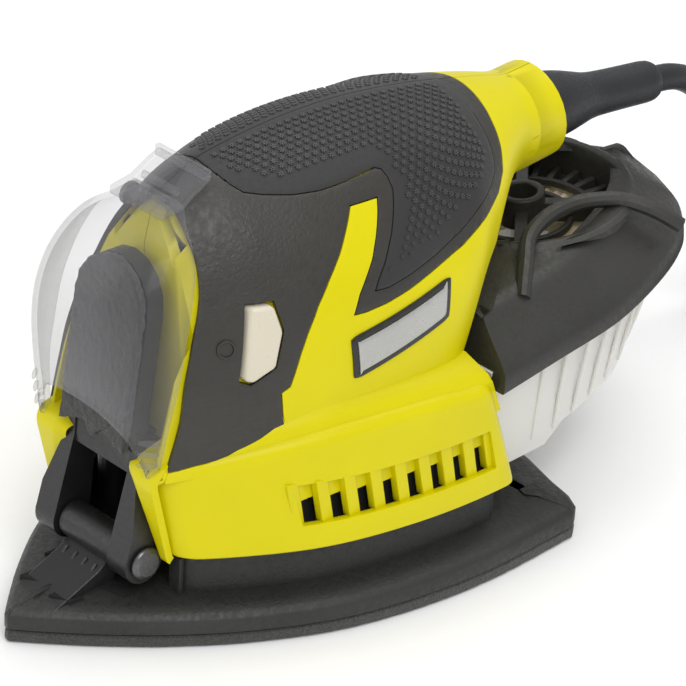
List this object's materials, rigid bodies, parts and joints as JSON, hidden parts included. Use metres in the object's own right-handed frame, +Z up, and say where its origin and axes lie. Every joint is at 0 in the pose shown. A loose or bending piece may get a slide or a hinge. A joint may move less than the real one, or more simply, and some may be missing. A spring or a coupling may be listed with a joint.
{
  "type": "detail mouse sander",
  "caption": "Corded detail sander with an iron-shaped orbiting pad, a fold-down finger, a clear front cover and a clip-on dust box.",
  "frame": {"origin": "middle of the footprint on the sanding face, without the free cord, its coil and its plug", "axes": "+Z up from the sanding face, nose of the pad towards -Y, cord outlet and dust box towards +Y, +X is the tool's left side"},
  "size_m": [0.1254, 0.3668, 0.1138],
  "materials": {
    "lime_plastic": "satin",
    "dark_shell": "fine leather-like grain",
    "grip_rubber": "soft, with a small raised pattern",
    "badge_silver": "brushed look",
    "black_plastic": "moulded grain",
    "hook_fabric": "hook and loop",
    "bright_steel": "machined",
    "smoked_clear": "clear, slightly smoked",
    "cream_plastic": "satin",
    "copper_wire": "lacquered wire",
    "brass_sheet": "plain",
    "grey_can": "plain",
    "soft_rubber": "smooth",
    "filter_paper": "pleated paper",
    "milky_clear": "milky clear plastic"
  },
  "bodies": {
    "housing": {"housing_left": "lime_plastic", "housing_right": "lime_plastic", "front_shell_left": "dark_shell", "grip_left": "grip_rubber", "badge_left": "badge_silver", "front_shell_right": "dark_shell", "grip_right": "grip_rubber", "badge_right": "badge_silver", "motor_field": "bright_steel", "field_winding_lower": "copper_wire", "field_winding_upper": "copper_wire", "upper_bearing": "bright_steel", "lower_bearing": "bright_steel", "carbon_brush_front": "black_plastic", "carbon_brush_rear": "black_plastic", "upper_bearing_bridge": "black_plastic", "lower_bearing_bridge": "black_plastic", "brush_holder_front": "brass_sheet", "brush_holder_rear": "brass_sheet", "switch_body": "black_plastic", "capacitor": "grey_can", "cord_clamp": "black_plastic", "inner_lead": "soft_rubber", "rubber_post_1": "soft_rubber", "rubber_post_2": "soft_rubber", "rubber_post_3": "soft_rubber", "rubber_post_4": "soft_rubber", "housing_screw_1": "bright_steel", "housing_screw_2": "bright_steel", "housing_screw_3": "bright_steel", "housing_screw_4": "bright_steel", "cord_boot": "soft_rubber", "cord": "soft_rubber", "cord_coil": "soft_rubber", "cord_tail": "soft_rubber", "plug": "soft_rubber", "plug_pin_left": "bright_steel", "plug_pin_right": "bright_steel", "coil_tie": "soft_rubber", "dust_port_seal": "soft_rubber"},
    "rotor": {"armature": "copper_wire", "commutator": "copper_wire", "motor_shaft": "bright_steel", "counterweight": "bright_steel", "fan": "black_plastic"},
    "pad": {"base_plate": "black_plastic", "hook_layer": "hook_fabric", "pad_bearing": "bright_steel", "finger_pin": "bright_steel"},
    "finger_arm": {"finger": "black_plastic", "finger_hook_pad": "hook_fabric"},
    "cover": {"clear_cover": "smoked_clear"},
    "switch": {"switch_bar": "cream_plastic"},
    "dust_box": {"box_lid": "black_plastic", "pleated_filter": "filter_paper", "dust_bin": "milky_clear"}
  },
  "joints": [
    {"name": "rotor_spin", "type": "hinge", "parent": "housing", "child": "rotor", "pos_m": [0, -0.022, 0.05], "axis": [0, 0, 1], "continuous": true},
    {"name": "pad_orbit", "type": "hinge", "parent": "rotor", "child": "pad", "pos_m": [0, -0.023, 0.01], "axis": [0, 0, 1], "continuous": true},
    {"name": "finger_fold", "type": "hinge", "parent": "pad", "child": "finger_arm", "pos_m": [0, -0.0775, 0.0195], "axis": [1, 0, 0], "range_deg": [0, 96]},
    {"name": "cover_release", "type": "slide", "parent": "housing", "child": "cover", "axis": [0, -0.7071, 0.7071], "range_m": [0, 0.14]},
    {"name": "switch_push", "type": "slide", "parent": "housing", "child": "switch", "axis": [-1, 0, 0], "range_m": [0, 0.003]},
    {"name": "dust_box_slide", "type": "slide", "parent": "housing", "child": "dust_box", "axis": [0, 1, 0], "range_m": [0, 0.02]}
  ],
  "couplings": [
    {"joint": "pad_orbit", "follows": "rotor_spin", "ratio": -1},
    {"joint": "cover_release", "follows": "finger_fold", "m_per_rad": 0.082}
  ]
}
